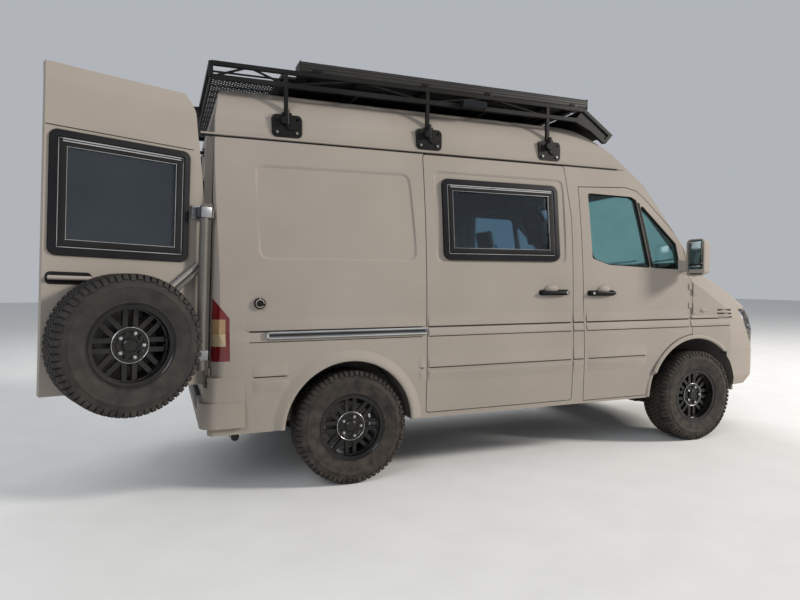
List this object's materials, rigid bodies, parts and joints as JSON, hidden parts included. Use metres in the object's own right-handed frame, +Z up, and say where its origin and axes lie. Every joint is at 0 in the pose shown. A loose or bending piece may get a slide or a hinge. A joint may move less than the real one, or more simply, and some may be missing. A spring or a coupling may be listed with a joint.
{
  "type": "high roof camper van",
  "caption": "Long high-roof camper van with open rear door, roof rack, side awning, ladder and door-mounted spare wheel.",
  "frame": {"origin": "on the ground plane on the vehicle's centre plane, 1.110 m forward of the rear axle, midway along the overall length", "axes": "+X forward, +Y to the left, +Z up; the tyres stand on Z = 0"},
  "size_m": [5.7105, 2.6246, 2.7343],
  "materials": {
    "paint": "matte",
    "glass": "gloss",
    "lamp": "gloss",
    "tail_lamp": "gloss",
    "black_plastic": "matte",
    "black_steel": "satin",
    "cast_iron": "matte",
    "exhaust_steel": "satin",
    "floor": "matte",
    "fabric": "matte",
    "rim": "satin",
    "tyre": "matte"
  },
  "bodies": {
    "body": {"side_wall_right": "paint", "side_wall_left": "paint", "sliding_door": "paint", "sliding_window": "glass", "slide_rail": "black_plastic", "high_roof": "paint", "cab_front": "paint", "windscreen": "glass", "floor": "floor", "firewall": "floor", "front_bumper": "paint", "rear_bumper": "paint", "grille": "black_plastic", "headlamps": "lamp", "tail_lamps": "tail_lamp", "chassis": "black_steel", "front_axle": "black_steel", "rear_axle": "black_steel", "engine": "cast_iron", "fuel_tank": "black_steel", "exhaust": "exhaust_steel", "dashboard": "black_plastic", "steering_wheel": "black_plastic", "seats": "fabric", "roof_rack": "black_steel", "rack_lamps": "lamp", "awning_case": "black_steel"},
    "front_door_right": {"front_door_right": "paint", "door_glass_right": "glass", "mirror_right": "black_plastic"},
    "front_door_left": {"front_door_left": "paint", "door_glass_left": "glass", "mirror_left": "black_plastic"},
    "rear_door_right": {"rear_door_right": "paint", "rear_window_right": "glass", "spare_carrier": "black_steel", "spare_rim": "rim", "spare_tyre": "tyre"},
    "rear_door_left": {"rear_door_left": "paint", "rear_window_left": "glass", "ladder": "black_steel"},
    "bonnet": {"bonnet": "paint"},
    "knuckle_right": {"knuckle_right": "black_steel"},
    "knuckle_left": {"knuckle_left": "black_steel"},
    "wheel_front_right": {"rim_front_right": "rim", "tyre_front_right": "tyre"},
    "wheel_front_left": {"rim_front_left": "rim", "tyre_front_left": "tyre"},
    "wheel_rear_right": {"rim_rear_right": "rim", "tyre_rear_right": "tyre"},
    "wheel_rear_left": {"rim_rear_left": "rim", "tyre_rear_left": "tyre"}
  },
  "joints": [
    {"name": "wheel_spin_front_right", "type": "hinge", "parent": "knuckle_right", "child": "wheel_front_right", "pos_m": [1.89, -0.825, 0.372], "axis": [0, 1, 0], "continuous": true},
    {"name": "wheel_spin_front_left", "type": "hinge", "parent": "knuckle_left", "child": "wheel_front_left", "pos_m": [1.89, 0.825, 0.372], "axis": [0, 1, 0], "continuous": true},
    {"name": "wheel_spin_rear_right", "type": "hinge", "parent": "body", "child": "wheel_rear_right", "pos_m": [-1.11, -0.825, 0.372], "axis": [0, 1, 0], "continuous": true},
    {"name": "wheel_spin_rear_left", "type": "hinge", "parent": "body", "child": "wheel_rear_left", "pos_m": [-1.11, 0.825, 0.372], "axis": [0, 1, 0], "continuous": true},
    {"name": "steer_right", "type": "hinge", "parent": "body", "child": "knuckle_right", "pos_m": [1.89, -0.735, 0.372], "axis": [0, 0, 1], "range_deg": [-32, 32]},
    {"name": "steer_left", "type": "hinge", "parent": "body", "child": "knuckle_left", "pos_m": [1.89, 0.735, 0.372], "axis": [0, 0, 1], "range_deg": [-32, 32]},
    {"name": "front_door_right_hinge", "type": "hinge", "parent": "body", "child": "front_door_right", "pos_m": [1.799, -0.968, 1.2], "axis": [0, 0, 1], "range_deg": [0, 68]},
    {"name": "front_door_left_hinge", "type": "hinge", "parent": "body", "child": "front_door_left", "pos_m": [1.799, 0.968, 1.2], "axis": [0, 0, -1], "range_deg": [0, 68]},
    {"name": "rear_door_right_hinge", "type": "hinge", "parent": "body", "child": "rear_door_right", "pos_m": [-2.00596, -0.883, 1], "axis": [0.0349, 0, 0.9994], "range_deg": [-110, 5]},
    {"name": "rear_door_left_hinge", "type": "hinge", "parent": "body", "child": "rear_door_left", "pos_m": [-2.00596, 0.883, 1], "axis": [-0.0349, 0, -0.9994], "range_deg": [0, 178]},
    {"name": "bonnet_hinge", "type": "hinge", "parent": "body", "child": "bonnet", "pos_m": [2.157, 0, 1.388], "axis": [0, -1, 0], "range_deg": [0, 55]}
  ],
  "couplings": [
    {"joint": "steer_left", "follows": "steer_right", "ratio": 1}
  ]
}
